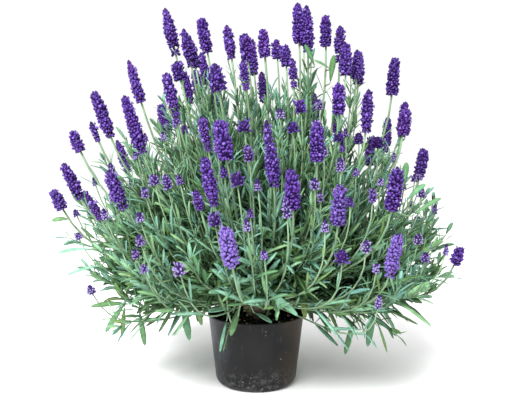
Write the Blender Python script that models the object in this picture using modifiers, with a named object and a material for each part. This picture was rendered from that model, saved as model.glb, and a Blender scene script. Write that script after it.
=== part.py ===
"""Potted lavender: a bushy lavender in full flower, in a thin black nursery pot.

The origin is the centre of the pot's underside, +Z is up and the plant's front is -Y. The pot holds the
growing medium, the medium holds the root of the woody crown, and every flower stem and leafy shoot starts at
a stub of the crown. Pieces that touch in the real plant keep a gap of 0.3 mm, so that each is its own solid.
"""

import math

import bmesh
import bpy
from mathutils import Matrix, Vector

# Driving dimensions, in metres and degrees.
GAP = 0.0003
RIM_RADIUS = 0.0674
POT_HEIGHT = 0.098
POT_TAPER = math.radians(6.7)
POT_WALL = 0.0012
POT_CORNER = 0.012
LIP_WIDTH = 0.0009
LIP_HEIGHT = 0.003
POT_STEPS = 32

NOTCHES = 5
FIRST_NOTCH = -70.0
NOTCH_WIDTH = 0.016
NOTCH_HEIGHT = 0.0042
DRAIN_RADIUS = 0.004
DRAIN_CIRCLE = 0.030

SOIL_TOP = 0.088
SOIL_MOUND = 0.002
ROOT_DEPTH = 0.040
ROOT_RADIUS = 0.008
CROWN_HEIGHT = 0.114
CROWN_RADIUS = 0.018
STUB_ROOT = 0.014
STUB_REACH = 0.030
STUB_RADIUS = 0.0022

STEM_ROOT_RADIUS = 0.0013
STEM_TIP_RADIUS = 0.0009
STEM_POINTS = 9
SPIKE_RADIUS = 0.0098
WHORL_PITCH = 0.009
WAIST = 0.78
SPIKE_SIDES = 7
LEAF_WIDTH = 0.0062
LEAF_THICKNESS = 0.0012
LEAF_DROOP = 0.22

# The whole plant grows a little towards -X.
PLANT_LEAN = Vector((-0.12, 0.0, 0.0))
UP = Vector((0.0, 0.0, 1.0))
CROWN_CENTRE = Vector((0.0, 0.0, CROWN_HEIGHT))

# Each flower stem: its azimuth, the reach and height of its spike's foot, and the spike's length.
FLOWER_STEMS = [
    (-168, 0.258, 0.248, 0.028),
    (-160, 0.240, 0.272, 0.040),
    (-155, 0.203, 0.348, 0.052),
    (-145, 0.172, 0.384, 0.052),
    (-130, 0.206, 0.330, 0.060),
    (-162, 0.113, 0.460, 0.050),
    (-95, 0.112, 0.432, 0.032),
    (-102, 0.222, 0.275, 0.046),
    (-96, 0.241, 0.207, 0.044),
    (-27, 0.064, 0.465, 0.052),
    (-58, 0.179, 0.367, 0.034),
    (-71, 0.206, 0.314, 0.043),
    (-68, 0.234, 0.247, 0.045),
    (-54, 0.251, 0.194, 0.045),
    (-12, 0.182, 0.397, 0.048),
    (-18, 0.266, 0.181, 0.022),
    (25, 0.215, 0.330, 0.044),
    (60, 0.190, 0.370, 0.046),
    (98, 0.218, 0.305, 0.045),
    (125, 0.130, 0.425, 0.048),
    (152, 0.225, 0.300, 0.042),
    (45, 0.244, 0.215, 0.038),
    (120, 0.242, 0.205, 0.040),]

# Each leafy shoot: its azimuth, the reach and height of its tip, and its pitch at the crown and at the tip.
LEAFY_SHOOTS = [
    (-146, 0.215, 0.092, 16, -38),
    (-38, 0.218, 0.088, 16, -38),
    (-115, 0.098, 0.070, 18, -80),
    (-83, 0.205, 0.150, 12, 10),
    (-3, 0.268, 0.150, 14, 0),
    (177, 0.262, 0.200, 22, 25),
    (78, 0.232, 0.105, 14, -25),
    (140, 0.228, 0.100, 14, -28),
    (105, 0.262, 0.180, 20, 22),
    (-125, 0.150, 0.262, 48, 60),
    (5, 0.150, 0.330, 62, 72),]
# Every tube has its points at these shares of its curve, closer near both ends so that its caps stand square.
TUBE_SHARES = [(1 - math.cos(math.pi * i / (STEM_POINTS - 1))) / 2 for i in range(STEM_POINTS)]
# Leaves grow at the tube's own points: five pairs on a shoot's outer part, one pair halfway up a flower stem.
SHOOT_PAIRS = TUBE_SHARES[3:-1]
STEM_PAIRS = TUBE_SHARES[4:5]
SHOOT_LEAF_LENGTH = 0.040
STEM_LEAF_LENGTH = 0.036

part_collection = None
tool_collection = None


def clear_scene():
    """Remove what the file opens with and make the two collections."""
    for existing in list(bpy.data.objects):
        bpy.data.objects.remove(existing)
    made = []
    for name in ("potted_lavender", "cutters"):
        collection = bpy.data.collections.new(name)
        bpy.context.scene.collection.children.link(collection)
        made.append(collection)
    return made


def material(name, colour, roughness):
    """A plain Principled material."""
    made = bpy.data.materials.new(name)
    made.use_nodes = True
    shader = made.node_tree.nodes["Principled BSDF"]
    shader.inputs["Base Color"].default_value = (*colour, 1.0)
    shader.inputs["Roughness"].default_value = roughness
    shader.inputs["Metallic"].default_value = 0.0
    return made


def add_part(name, mesh, finish):
    """An object of the part, shaded smooth across its gentle edges."""
    obj = bpy.data.objects.new(name, mesh)
    part_collection.objects.link(obj)
    mesh.materials.clear()
    mesh.materials.append(finish)
    mesh.shade_smooth()
    return obj


def add_tool(name, mesh):
    """A cutter or a joined piece: it shapes another object and isn't a part itself."""
    obj = bpy.data.objects.new(name, mesh)
    obj.hide_render = True
    obj.display_type = "WIRE"
    tool_collection.objects.link(obj)
    return obj


def mesh_from(name, build):
    """A mesh filled by build(bm)."""
    mesh = bpy.data.meshes.new(name)
    bm = bmesh.new()
    build(bm)
    bmesh.ops.recalc_face_normals(bm, faces=bm.faces)
    bm.to_mesh(mesh)
    bm.free()
    return mesh


def turned(name, profile, finish, steps):
    """Turn a profile of (radius, height) points, given from the top down its outer side, about Z."""
    mesh = bpy.data.meshes.new(name)
    points = [(radius, 0.0, height) for radius, height in profile]
    edges = [(i, i + 1) for i in range(len(points) - 1)]
    mesh.from_pydata(points, edges, [])
    obj = add_part(name, mesh, finish)
    screw = obj.modifiers.new("turn", "SCREW")
    screw.axis = "Z"
    screw.steps = steps
    screw.render_steps = steps
    screw.use_merge_vertices = True
    screw.merge_threshold = 0.00005
    screw.use_smooth_shade = True
    return obj


def join(obj, name, operand, operation):
    """A Boolean with one object or with a collection of objects."""
    boolean = obj.modifiers.new(name, "BOOLEAN")
    boolean.operation = operation
    boolean.solver = "EXACT"
    if isinstance(operand, bpy.types.Collection):
        boolean.operand_type = "COLLECTION"
        boolean.collection = operand
    else:
        boolean.object = operand


def wall_profile(inset, top):
    """The pot's side from a height down round its bottom corner, moved inwards by inset."""
    slope = math.tan(POT_TAPER)
    turn = POT_CORNER - inset
    arc_steps = 4
    wall_foot = POT_CORNER * (1 - math.sin(POT_TAPER))
    outer_foot = RIM_RADIUS - LIP_WIDTH - slope * (POT_HEIGHT - wall_foot)
    centre = outer_foot - POT_CORNER * math.cos(POT_TAPER)
    foot_radius = centre + turn * math.cos(POT_TAPER)
    foot_height = POT_CORNER - turn * math.sin(POT_TAPER)
    points = [(foot_radius + slope * (top - foot_height), top)]
    for i in range(arc_steps + 1):
        angle = POT_TAPER + (math.pi / 2 - POT_TAPER) * i / arc_steps
        points.append((centre + turn * math.cos(angle), POT_CORNER - turn * math.sin(angle)))
    return points


def nursery_pot(finish):
    """A thin moulded cup with a small lip, drain holes in its floor and notches round its bottom corner."""
    lip_foot = POT_HEIGHT - LIP_HEIGHT
    side = wall_profile(0.0, lip_foot - LIP_WIDTH)
    profile = [(RIM_RADIUS, POT_HEIGHT), (RIM_RADIUS, lip_foot), *side, (0.0, 0.0)]
    pot = turned("nursery_pot", profile, finish, POT_STEPS)
    wall = pot.modifiers.new("wall", "SOLIDIFY")
    wall.thickness = POT_WALL
    wall.offset = -1.0
    wall.use_even_offset = True
    for i in range(NOTCHES):
        azimuth = math.radians(FIRST_NOTCH + 360.0 / NOTCHES * i)
        notch = mesh_from("notch", lambda bm: bmesh.ops.create_cube(bm, size=1.0))
        cutter = add_tool(f"notch_{i + 1}", notch)
        radius = side[-1][0] + NOTCH_WIDTH / 2
        cutter.location = (radius * math.cos(azimuth), radius * math.sin(azimuth), 0.0)
        cutter.rotation_euler = (0.0, 0.0, azimuth)
        cutter.scale = (NOTCH_WIDTH + 0.004, NOTCH_WIDTH, NOTCH_HEIGHT * 2)
        join(pot, f"notch_{i + 1}", cutter, "DIFFERENCE")
        drain_azimuth = azimuth + math.pi / NOTCHES
        drain = mesh_from("drain", drain_cylinder)
        hole = add_tool(f"drain_{i + 1}", drain)
        hole.location = (DRAIN_CIRCLE * math.cos(drain_azimuth), DRAIN_CIRCLE * math.sin(drain_azimuth), 0.0)
        join(pot, f"drain_{i + 1}", hole, "DIFFERENCE")


def drain_cylinder(bm):
    """A round cutter for one drain hole."""
    bmesh.ops.create_cone(
        bm, cap_ends=True, segments=12, radius1=DRAIN_RADIUS, radius2=DRAIN_RADIUS, depth=POT_WALL * 4
    )


def growing_medium(finish):
    """Peat that fills the pot to just below its rim, with the pocket that the crown's root fills."""
    inset = POT_WALL + GAP
    side = wall_profile(inset, SOIL_TOP)
    pocket = ROOT_RADIUS + GAP
    pocket_floor = SOIL_TOP - ROOT_DEPTH - GAP
    profile = [
        (0.0, pocket_floor),
        (pocket, pocket_floor),
        (pocket, SOIL_TOP + SOIL_MOUND),
        (side[0][0] * 0.55, SOIL_TOP + SOIL_MOUND * 0.8),
        *side,
        (0.0, inset),
    ]
    turned("growing_medium", profile, finish, POT_STEPS)


def direction(azimuth, pitch):
    """The unit vector at an azimuth about Z and a pitch above the horizontal, in degrees."""
    around = math.radians(azimuth)
    above = math.radians(pitch)
    return Vector(
        (math.cos(around) * math.cos(above), math.sin(around) * math.cos(above), math.sin(above))
    )


def growth(azimuth, reach, height, start_pitch, end_pitch):
    """A smooth cubic from the stub's end: straight out of the stub, arriving at end_pitch."""
    leaving = direction(azimuth, start_pitch)
    arriving = (direction(azimuth, end_pitch) + PLANT_LEAN).normalized()
    start = CROWN_CENTRE + leaving * (STUB_REACH + GAP)
    end = direction(azimuth, 0.0) * reach + UP * height
    span = (end - start).length
    first = start + leaving * span * 0.40
    second = end - arriving * span * 0.34

    def place(t):
        s = 1 - t
        return start * s**3 + first * 3 * s * s * t + second * 3 * s * t * t + end * t**3

    return place, leaving, arriving


def stem_growth(azimuth, reach, height):
    """A flower stem's curve: it leaves the crown flatter than it ends, and is nearly upright at its spike."""
    above_crown = math.degrees(math.atan2(height - CROWN_HEIGHT, reach))
    end_pitch = min(88.0, 62.0 + above_crown * 0.3)
    return growth(azimuth, reach, height, above_crown * 0.85, end_pitch)


def tube(name, place):
    """A tapered round stem along place(t), as a mesh with its caps welded."""
    curve = bpy.data.curves.new(name, "CURVE")
    curve.dimensions = "3D"
    curve.bevel_depth = 1.0
    curve.bevel_resolution = 1
    curve.use_fill_caps = True
    spline = curve.splines.new("POLY")
    spline.points.add(STEM_POINTS - 1)
    for point, t in zip(spline.points, TUBE_SHARES):
        point.co = (*place(t), 1.0)
        point.radius = STEM_ROOT_RADIUS + (STEM_TIP_RADIUS - STEM_ROOT_RADIUS) * t
    guide = bpy.data.objects.new(name, curve)
    tool_collection.objects.link(guide)
    mesh = bpy.data.meshes.new_from_object(guide)
    bpy.data.objects.remove(guide)
    bm = bmesh.new()
    bm.from_mesh(mesh)
    bmesh.ops.remove_doubles(bm, verts=bm.verts, dist=0.00001)
    bmesh.ops.recalc_face_normals(bm, faces=bm.faces)
    bm.to_mesh(mesh)
    bm.free()
    return mesh


def add_leaf(bm, root, along, side, length):
    """A lens-shaped leaf: a flattened sphere from root along its length, which bends down towards its tip."""
    across = along.cross(side).normalized()
    face = across.cross(along).normalized()
    leaf = bmesh.ops.create_uvsphere(bm, u_segments=4, v_segments=4, radius=0.5)
    for vert in leaf["verts"]:
        share = vert.co.z + 0.5
        bend = -LEAF_DROOP * share * share * length
        vert.co = (
            root
            + along * share * length
            + across * vert.co.x * LEAF_WIDTH
            + face * vert.co.y * LEAF_THICKNESS
            + UP * bend
        )


def leaf_pairs(name, place, shares, length):
    """Opposite leaves at shares of a stem's curve, each pair turned a quarter from the last."""

    def build(bm):
        for order, share in enumerate(shares):
            here = place(share)
            along = (place(share + 0.01) - here).normalized()
            level = along.cross(UP).normalized()
            if order % 2:
                level = along.cross(level).normalized()
            for outward in (level, -level):
                heading = (along * 0.75 + outward).normalized()
                root = here + outward * STEM_TIP_RADIUS * 0.3
                size = length * (1.0 - 0.25 * share)
                add_leaf(bm, root, heading, along, size)

    return add_tool(name, mesh_from(name, build))


def flower_stem(number, row, finish):
    """A bare stem with one pair of leaves low down."""
    azimuth, reach, height, _ = row
    name = f"flower_stem_{number:02d}"
    place, _, _ = stem_growth(azimuth, reach, height)
    stem = add_part(name, tube(name, place), finish)
    leaves = leaf_pairs(f"{name}_leaves", place, STEM_PAIRS, STEM_LEAF_LENGTH)
    join(stem, "leaves", leaves, "UNION")


def flower_spike(number, row, finish):
    """A spike of whorled flowers: a turned profile with one bulge for each whorl, standing on its stem."""
    azimuth, reach, height, length = row
    place, _, arriving = stem_growth(azimuth, reach, height)
    whorls = max(2, round(length / WHORL_PITCH))
    profile = [(0.0, length)]
    for i in range(whorls):
        share = (i + 0.5) / whorls
        bulge = SPIKE_RADIUS * (min(1.0, 0.5 + 2.0 * share) - 0.08 * share)
        middle = length * (1 - share)
        profile.append((bulge, middle))
        if i < whorls - 1:
            profile.append((bulge * WAIST, middle - length * 0.5 / whorls))
    profile += [(STEM_TIP_RADIUS * 2, 0.0), (0.0, 0.0)]
    spike = turned(f"flower_spike_{number:02d}", profile, finish, SPIKE_SIDES)
    spike.location = place(1.0) + arriving * GAP
    spike.rotation_mode = "QUATERNION"
    spike.rotation_quaternion = arriving.to_track_quat("Z", "Y")


def leafy_shoot(number, row, finish):
    """A flowerless shoot with opposite leaves along its outer half."""
    name = f"leafy_shoot_{number:02d}"
    place, _, _ = growth(*row)
    shoot = add_part(name, tube(name, place), finish)
    leaves = leaf_pairs(f"{name}_leaves", place, SHOOT_PAIRS, SHOOT_LEAF_LENGTH)
    join(shoot, "leaves", leaves, "UNION")


def woody_crown(finish):
    """The shrub's woody base: a root in the medium, a knotted head and a stub for each stem and shoot."""
    foot = SOIL_TOP - ROOT_DEPTH

    def root(bm):
        depth = CROWN_HEIGHT - foot
        middle = Matrix.Translation((0.0, 0.0, foot + depth / 2))
        bmesh.ops.create_cone(
            bm,
            cap_ends=True,
            segments=12,
            radius1=ROOT_RADIUS * 0.7,
            radius2=ROOT_RADIUS,
            depth=depth,
            matrix=middle,
        )

    crown = add_part("woody_crown", mesh_from("woody_crown", root), finish)
    limbs = bpy.data.collections.new("crown_limbs")
    tool_collection.children.link(limbs)

    def head(bm):
        middle = Matrix.Translation(CROWN_CENTRE)
        bmesh.ops.create_uvsphere(bm, u_segments=14, v_segments=9, radius=CROWN_RADIUS, matrix=middle)

    pieces = [add_tool("crown_head", mesh_from("crown_head", head))]
    leaving = [stem_growth(azimuth, reach, height)[1] for azimuth, reach, height, _ in FLOWER_STEMS]
    leaving += [growth(*row)[1] for row in LEAFY_SHOOTS]
    for number, outward in enumerate(leaving, 1):

        def stub(bm, outward=outward):
            turn = outward.to_track_quat("Z", "Y").to_matrix().to_4x4()
            middle = Matrix.Translation(CROWN_CENTRE + outward * (STUB_REACH + STUB_ROOT) / 2)
            bmesh.ops.create_cone(
                bm,
                cap_ends=True,
                segments=7,
                radius1=STUB_RADIUS * 1.6,
                radius2=STUB_RADIUS,
                depth=STUB_REACH - STUB_ROOT,
                matrix=middle @ turn,
            )

        pieces.append(add_tool(f"crown_stub_{number:02d}", mesh_from("stub", stub)))
    for piece in pieces:
        tool_collection.objects.unlink(piece)
        limbs.objects.link(piece)
    join(crown, "limbs", limbs, "UNION")


part_collection, tool_collection = clear_scene()
black_plastic = material("black_plastic", (0.028, 0.029, 0.033), 0.5)
dark_peat = material("dark_peat", (0.020, 0.014, 0.012), 0.95)
grey_bark = material("grey_bark", (0.16, 0.12, 0.08), 0.9)
stem_green = material("stem_green", (0.33, 0.42, 0.22), 0.6)
leaf_green = material("leaf_green", (0.20, 0.31, 0.19), 0.65)
violet_flower = material("violet_flower", (0.13, 0.05, 0.32), 0.7)

nursery_pot(black_plastic)
growing_medium(dark_peat)
woody_crown(grey_bark)
for stem_number, stem_row in enumerate(FLOWER_STEMS, 1):
    flower_stem(stem_number, stem_row, stem_green)
    flower_spike(stem_number, stem_row, violet_flower)
for shoot_number, shoot_row in enumerate(LEAFY_SHOOTS, 1):
    leafy_shoot(shoot_number, shoot_row, leaf_green)
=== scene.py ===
"""Looks of the potted lavender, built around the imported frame: pot, peat, crown, stalks, spikes and foliage.

Every green or violet piece is a set of closed skins: rings of points along a path, closed at both ends. The
stalks, the spikes and the crown take their places from the CAD nodes; the rest of the foliage grows from the
same crown with the same curve.
"""

import math

import bpy
import numpy as np
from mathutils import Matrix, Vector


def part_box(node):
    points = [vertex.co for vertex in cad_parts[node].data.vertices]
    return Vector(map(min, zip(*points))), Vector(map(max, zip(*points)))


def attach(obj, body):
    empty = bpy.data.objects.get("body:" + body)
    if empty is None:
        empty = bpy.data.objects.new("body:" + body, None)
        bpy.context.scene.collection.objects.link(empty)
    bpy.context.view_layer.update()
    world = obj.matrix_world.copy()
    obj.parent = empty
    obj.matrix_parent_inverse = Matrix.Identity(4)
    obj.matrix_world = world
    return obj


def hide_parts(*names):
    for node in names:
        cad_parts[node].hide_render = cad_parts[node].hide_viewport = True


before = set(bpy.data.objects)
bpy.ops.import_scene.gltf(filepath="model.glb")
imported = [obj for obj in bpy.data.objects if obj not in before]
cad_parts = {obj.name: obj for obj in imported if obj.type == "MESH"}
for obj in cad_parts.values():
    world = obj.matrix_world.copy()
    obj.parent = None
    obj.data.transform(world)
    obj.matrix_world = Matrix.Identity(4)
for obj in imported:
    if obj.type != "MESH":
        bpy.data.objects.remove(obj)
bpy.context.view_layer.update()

# Places that the frame gives, in metres; the crown's middle lies a little above the soil.
SOIL_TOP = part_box("growing_medium")[1].z
POT_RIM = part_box("nursery_pot")[1].x
POT_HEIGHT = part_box("nursery_pot")[1].z
CROWN = np.array([0.0, 0.0, SOIL_TOP + 0.024])
# How much the tips of the stems lean to the left, and the way down.
PLANT_LEAN = np.array([-0.12, 0.0, 0.0])
DOWN = np.array([0.0, 0.0, -1.0])
# From each shoot, and from each small head, to the next, in degrees.
GOLDEN_TURN = 137.508
HEAD_TURN = 137.5
# The room that stays clear of leaves: how far it reaches out from the pot's rim and up from it, how far past
# the pot's sides it goes in front, and how fast it rises there.
RIM_ROOM = 0.045
RIM_HEADROOM = 0.024
FRONT_ROOM = 0.012
RIM_SLOPE = 0.24
# Leaves: chance spread of tone, age and warmth, the depth at which the painted shade inside the plant is
# darkest, the bend of a leaf that stands alone, and the pitch over which shoots carry slim leaves.
TONE_SPREAD = (0.27, 0.06, 0.22)
SHADE_DEPTH = 0.12
LONE_SAG = 0.18
SLIM_PITCH = 32
# Spikes: how far calyces stand out in radii, how wide the CAD's spikes are, the width under which a spike is
# small, the share with a whorl apart under them, and the most that a small head may stand out from the crown.
CALYX_REACH = 0.645
SPIKE_WIDTH = 0.0175
SMALL_WIDTH = 0.0135
WHORLS_APART = 0.45
MOST_HEAD_REACH = 0.272
# Peat: how far its edge lies below its middle, its highest lump, and its grains.
PEAT_SINK = 0.003
MOST_LUMP = 0.002
CRUMBS = 620
PERLITE_GRAINS = 70

STALKS = sorted(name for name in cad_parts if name.startswith("flower_stem_"))
SPIKES = sorted(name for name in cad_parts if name.startswith("flower_spike_"))
SHOOTS = sorted(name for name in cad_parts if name.startswith("leafy_shoot_"))

# Flower stalks beside the CAD ones: azimuth, reach and height of the spike's foot, its length and its width,
# in degrees and millimetres.
MORE_SPIKES = [
    (-168, 234, 323, 29, 17), (-131, 233, 269, 37, 18), (-133, 90, 448, 43, 17), (-144, 104, 441, 38, 16),
    (-106, 155, 394, 31, 23), (-99, 205, 316, 42, 20), (-23, 74, 464, 50, 20), (-17, 115, 451, 36, 17),
    (-26, 142, 416, 36, 16), (-48, 192, 353, 43, 16), (-80, 226, 265, 44, 19), (-50, 236, 259, 47, 19),
    (-28, 205, 344, 32, 19), (-129, 144, 409, 23, 18), (-123, 174, 375, 40, 15), (-110, 91, 445, 34, 15),
    (-84, 104, 438, 33, 16), (-95, 142, 406, 24, 12), (-72, 142, 408, 24, 12), (-19, 97, 460, 41, 17),
    (-36, 138, 418, 39, 18), (-86, 198, 331, 28, 11), (-85, 215, 295, 43, 17), (-106, 197, 334, 30, 12),
    (-169, 214, 344, 19, 11), (-139, 242, 252, 20, 11), (-105, 228, 263, 23, 11),
    (10, 238, 285, 42, 18), (38, 226, 300, 46, 19), (48, 190, 352, 40, 18), (72, 236, 262, 40, 18),
    (85, 160, 400, 50, 20), (92, 98, 445, 44, 18), (110, 178, 372, 46, 19), (118, 228, 282, 38, 17),
    (135, 196, 350, 48, 19), (142, 238, 240, 40, 18), (125, 150, 405, 44, 18), (168, 242, 232, 36, 17),
    (15, 150, 418, 46, 18), (45, 98, 476, 38, 18), (65, 245, 198, 40, 17), (100, 246, 205, 42, 18),
    (150, 100, 442, 46, 18), (5, 205, 352, 40, 17), (80, 205, 335, 44, 19), (155, 250, 190, 34, 16),
    (20, 252, 190, 36, 16), (130, 160, 402, 42, 18), (49, 46, 453, 27, 17), (24, 46, 441, 28, 17),
]  # fmt: skip
# The CAD's leafy shoots, then those at the rim: azimuth, reach and height of the tip, pitch at the crown and
# at the tip, in degrees and millimetres, how olive its leaves are and their size.
LEAFY_SHOOTS = [
    (-146, 213, 103, 16, -22, 0.05, 0.7), (-38, 214, 103, 16, -22, 0.1, 0.7),
    (-115, 98, 70, 18, -80, 0.1, 0.2), (-83, 205, 150, 12, 10, 0.0, 0.5), (-3, 268, 150, 14, 0, 0.0, 0.9),
    (177, 262, 200, 22, 25, 0.0, 0.9), (78, 232, 105, 14, -25, 0.1, 1.0), (140, 228, 100, 14, -28, 0.0, 1.0),
    (105, 262, 180, 20, 22, 0.0, 1.0), (-125, 150, 262, 48, 60, 0.0, 1.0), (5, 150, 330, 62, 72, 0.0, 1.0),
]  # fmt: skip
RIM_SHOOTS = [
    (-98, 84, 124, 34, -10, 0.6, 0.34), (-112, 92, 128, 30, 0, 0.3, 0.42),
    (-134, 112, 124, 20, -10, 0.0, 0.7), (-24, 122, 120, 18, -10, 0.15, 0.5),
]  # fmt: skip
# Broad leaves that stand alone: root and tip in millimetres, width, how olive, and tone.
LONE_LEAVES = [
    (7, -148, 163, 45, -168, 136, 8.5, 0.0, 0.75), (7, -150, 168, -21, -172, 154, 7, 0.0, 0.85),
    (-1, -100, 121, 19, -120, 114, 6, 0.0, 0.8), (59, -90, 146, 61, -100, 119, 8, 0.6, 0.4),
    (-37, -95, 110, -44, -101, 77, 4.5, 0.0, 0.85), (-90, -120, 139, -82, -130, 101, 9, 0.0, 0.6),
    (-73, -120, 134, -67, -125, 115, 6, 0.4, 0.5), (134, -30, 96, 123, -32, 54, 8, 0.1, 0.45),
    (160, -30, 113, 153, -32, 66, 10, 0.0, 0.6), (-178, -30, 116, -200, -32, 82, 9, 0.1, 0.5),
    (-178, -30, 112, -181, -32, 78, 7, 0.4, 0.35), (-158, -30, 106, -152, -32, 66, 8, 0.1, 0.5),
    (-172, -30, 116, -224, -32, 113, 8, 0.1, 0.4), (-150, -30, 118, -112, -32, 108, 9, 0.1, 0.3),
    (-30, -105, 128, -60, -118, 127, 7, 0.0, 0.8), (-22, -104, 122, -30, -112, 99, 8, 0.2, 0.5),
    (97, -40, 413, 102, -45, 455, 8, 0.1, 0.35), (76, -40, 434, 61, -45, 466, 7, 0.0, 0.4),
    (97, -42, 429, 73, -45, 442, 4, 0.1, 0.45), (182, -100, 281, 186, -100, 316, 8, 0.0, 0.4),
    (187, -100, 263, 212, -100, 286, 7, 0.0, 0.55), (196, -100, 245, 234, -95, 268, 6, 0.1, 0.5),
    (-246, -50, 234, -268, -50, 232, 7, 0.2, 0.5), (-207, -100, 202, -246, -100, 197, 5, 0.0, 0.9),
    (-195, -100, 181, -234, -100, 169, 4.5, 0.0, 0.9), (-165, -70, 268, -186, -80, 292, 6, 0.0, 0.7),
]  # fmt: skip
# Small heads that stand before the foliage: azimuth and pitch, length and width in millimetres, and how pale.
SMALL_HEADS = [
    (-92, 28, 13, 10, 0.6), (-72, 28, 13, 10, 0.6), (-108, 18, 14, 15, 0.6), (-142, 10, 11, 13, 0.7),
    (-120, 24, 12, 12, 0.4), (-121, 21, 10, 10, 0.4), (-118, 18, 9, 10, 0.4), (-120, 38, 12, 13, 0.35),
    (-115, 37, 16, 13, 0.35), (-122, 35, 12, 10, 0.4), (-92, 44, 17, 13, 0.25), (-62, 43, 15, 13, 0.5),
    (-68, 21, 13, 19, 0.1), (-60, 23, 13, 14, 0.95), (-53, 35, 16, 12, 0.3), (-95, 38, 13, 19, 0.1),
    (-100, 29, 13, 17, 0.2), (-73, 38, 12, 13, 0.5), (-82, 31, 20, 12, 0.5), (-57, 18, 10, 9, 0.5),
    (-56, 9, 16, 9, 0.5), (-88, 22, 9, 9, 0.4), (-36, 23, 12, 14, 0.8), (-33, 18, 11, 13, 0.4),
    (-80, 57, 12, 14, 0.8), (-68, 61, 14, 17, 0.05), (-50, 65, 12, 12, 0.6), (-65, 55, 12, 12, 0.7),
    (-76, 53, 12, 17, 0.05), (-94, 52, 11, 18, 0.05), (-56, 52, 12, 17, 0.05), (-123, 55, 14, 12, 0.3),
    (-164, 22, 9, 12, 0.5), (-33, 50, 14, 21, 0.05), (-44, 52, 12, 15, 0.1), (-11, 38, 10, 12, 0.6),
    (-21, 34, 12, 13, 0.5), (-151, 42, 13, 12, 0.8), (-70, 46, 13, 12, 0.6), (-102, 46, 12, 10, 0.4),
]  # fmt: skip
# A twig that droops over the rim and two shoots that rise from its bend: four control points each, in
# millimetres.
BENT_TWIGS = [
    [(-4, -14, 120), (-12, -56, 142), (-22, -92, 130), (-27, -103, 106)],
    [(-27, -103, 106), (-34, -108, 110), (-41, -108, 138), (-31, -118, 196)],
    [(-27, -103, 106), (-21, -106, 108), (-23, -104, 128), (-13, -110, 176)],
]
# How pale the washed-out spikes are: CAD stalk number and share.
PALE_SPIKES = {9: 0.75, 14: 0.55, 13: 0.3, 1: 0.2}


# ---------------------------------------------------------------- paths


def unit(vectors):
    """Each vector divided by its length."""
    return vectors / np.linalg.norm(vectors, axis=-1, keepdims=True)


def heading(azimuth, pitch):
    """(cos a cos p, sin a cos p, sin p) for azimuths a and pitches p in degrees."""
    a, p = np.radians(azimuth), np.radians(pitch)
    return np.stack([np.cos(a) * np.cos(p), np.sin(a) * np.cos(p), np.sin(p)], -1)


def hermite(start, leaving, end, arriving):
    """Cubic control points: start, start + 0.40 span leaving, end - 0.34 span arriving, end."""
    span = np.linalg.norm(end - start, axis=-1, keepdims=True)
    return np.stack([start, start + leaving * span * 0.40, end - arriving * span * 0.34, end], 1)


def growth(azimuth, reach, height, start_pitch, end_pitch, root=0.012):
    """A cubic out of the crown at start_pitch that reaches its tip at end_pitch, with the plant's lean."""
    leaving = heading(azimuth, start_pitch)
    arriving = unit(heading(azimuth, end_pitch) + PLANT_LEAN)
    end = heading(azimuth, 0 * azimuth) * np.asarray(reach)[:, None]
    end[:, 2] += height
    return hermite(CROWN + leaving * root, leaving, end, arriving)


def on_curve(curve, shares):
    """Place s³P0 + 3s²tP1 + 3st²P2 + t³P3 on each cubic at its shares t, with s = 1 - t, and direction."""
    t = np.broadcast_to(shares, (len(curve), np.shape(shares)[-1]))[..., None]
    s = 1 - t
    a, b, c, d = (curve[:, i, None] for i in range(4))
    place = a * s**3 + b * 3 * s * s * t + c * 3 * s * t * t + d * t**3
    slope = (b - a) * s * s + (c - b) * 2 * s * t + (d - c) * t * t
    return place, unit(slope)


def sideways(tangent, azimuth):
    """The level direction across an azimuth, made square to each tangent."""
    level = heading(azimuth + 90.0, 0 * azimuth)
    level = level.reshape(level.shape[:1] + (1,) * (tangent.ndim - 2) + (3,))
    return unit(level - (level * tangent).sum(-1, keepdims=True) * tangent)


# ---------------------------------------------------------------- skins


def round_turns(sides):
    """The angles of points spread evenly round a ring."""
    return np.arange(sides) * 2 * np.pi / sides


def swung(e1, e2, turn):
    """e1 cos t + e2 sin t for each turn t."""
    return e1 * np.cos(turn)[..., None] + e2 * np.sin(turn)[..., None]


def ring_spots(shares, sides):
    """The spot of points on rings: the ring's share of the length, and the turn from -1 to 1."""
    spot = np.zeros((len(shares), sides, 3))
    spot[..., 0] = np.asarray(shares)[:, None]
    spot[..., 1] = round_turns(sides) / np.pi - 1
    return spot


def packed(rings, foot=(0.0, 0.0, 0.0), tip=(1.0, 0.0, 0.0)):
    """Values on rings (n, s, v, c) and at both ends (n, c), as one list for each item: (n, s v + 2, c)."""
    n, s, v, c = rings.shape
    ends = [np.broadcast_to(end, (n, c))[:, None] for end in (foot, tip)]
    return np.concatenate([rings.reshape(n, s * v, c), *ends], 1)


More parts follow.
